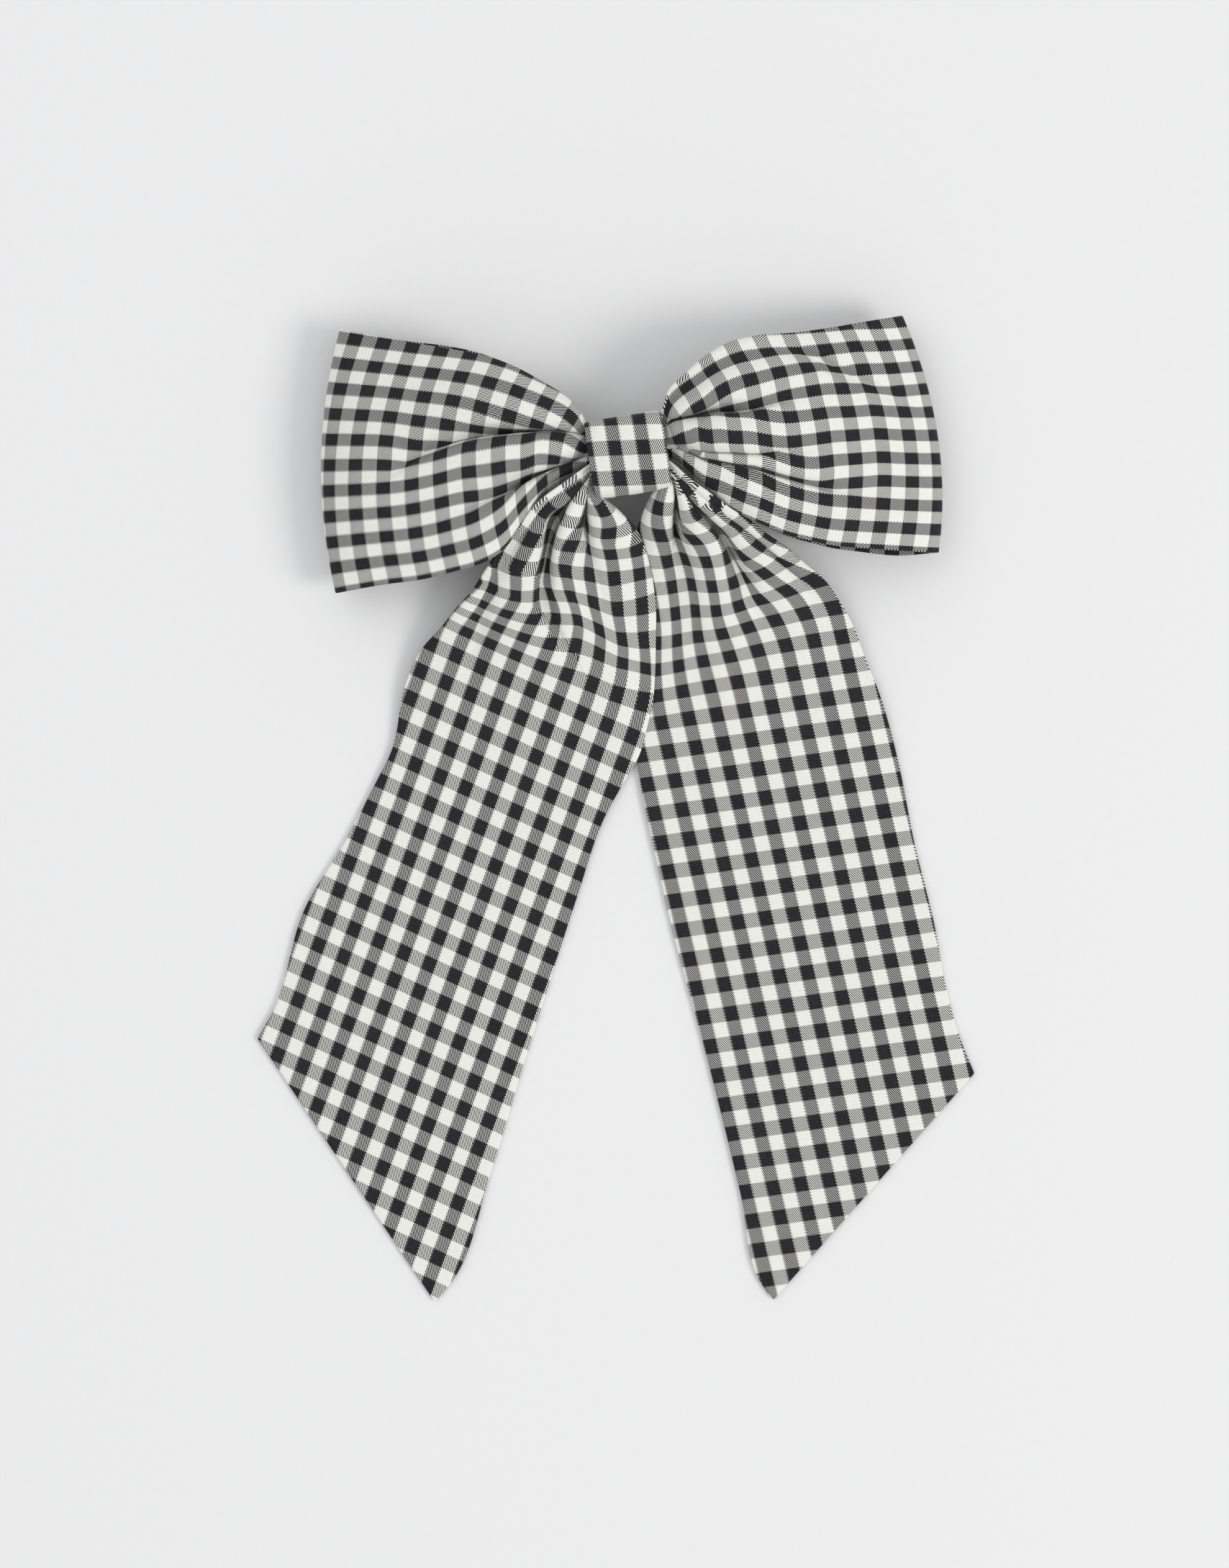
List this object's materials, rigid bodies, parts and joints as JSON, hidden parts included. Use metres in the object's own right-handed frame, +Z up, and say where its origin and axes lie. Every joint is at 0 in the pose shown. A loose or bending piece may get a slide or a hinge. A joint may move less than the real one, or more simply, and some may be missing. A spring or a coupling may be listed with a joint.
{
  "type": "hair bow",
  "caption": "Large gingham hair bow with puffed loops, wrapped knot and long slanted tails, on a curved sprung metal clasp that opens",
  "frame": {"origin": "middle of the bow's outline, on the surface that the bow lies on, face up", "axes": "+Z up, out of the bow's face; +Y up the bow, from the tails to the knot; +X to the right along the loops"},
  "size_m": [0.2258, 0.3108, 0.0276],
  "materials": {
    "gingham_cloth": "matt woven twill in black and cream gingham checks",
    "sewing_thread": "spun cream polyester thread",
    "plated_steel": "nickel-plated pressed steel, satin",
    "spring_steel": "bright tempered spring steel"
  },
  "bodies": {
    "bow": {"loop_band": "gingham_cloth", "left_tail_top": "gingham_cloth", "right_tail_top": "gingham_cloth", "knot_wrap": "gingham_cloth", "lap_stitches": "sewing_thread", "gathering_thread": "sewing_thread", "clip_plate": "plated_steel", "hinge_pin": "plated_steel", "catch_bracket": "spring_steel", "catch_rivet": "plated_steel", "sewing_tie_left": "sewing_thread", "sewing_tie_right": "sewing_thread"},
    "left_tail": {"left_tail_fall": "gingham_cloth"},
    "right_tail": {"right_tail_fall": "gingham_cloth"},
    "arm": {"clasp_arm": "plated_steel"},
    "leaf": {"tension_spring": "spring_steel"},
    "upper_leg": {"catch_leg_upper": "spring_steel"},
    "lower_leg": {"catch_leg_lower": "spring_steel"}
  },
  "joints": [
    {"name": "left_tail_lift", "type": "hinge", "parent": "bow", "child": "left_tail", "pos_m": [-0.0326, 0.01809, 0.0034], "axis": [-0.9642, 0.2652, 0], "range_deg": [0, 60]},
    {"name": "right_tail_lift", "type": "hinge", "parent": "bow", "child": "right_tail", "pos_m": [0.0463, 0.02259, 0.0034], "axis": [-0.9667, -0.2561, 0], "range_deg": [0, 60]},
    {"name": "clasp_hinge", "type": "hinge", "parent": "bow", "child": "arm", "pos_m": [-0.03345, 0.11259, 0.0026], "axis": [0, 1, 0], "range_deg": [0, 75]},
    {"name": "spring_flex", "type": "hinge", "parent": "bow", "child": "leaf", "pos_m": [-0.03005, 0.11259, 0.0079], "axis": [0, -1, 0], "range_deg": [0, 1.2], "stiffness_Nm_per_rad": 3},
    {"name": "upper_leg_pinch", "type": "hinge", "parent": "bow", "child": "upper_leg", "pos_m": [0.03895, 0.11428, 0.0075], "axis": [-1, 0, 0], "range_deg": [0, 8], "stiffness_Nm_per_rad": 0.02},
    {"name": "lower_leg_pinch", "type": "hinge", "parent": "bow", "child": "lower_leg", "pos_m": [0.03895, 0.11088, 0.0075], "axis": [1, 0, 0], "range_deg": [0, 8]}
  ],
  "couplings": [
    {"joint": "lower_leg_pinch", "follows": "upper_leg_pinch", "ratio": 1}
  ]
}
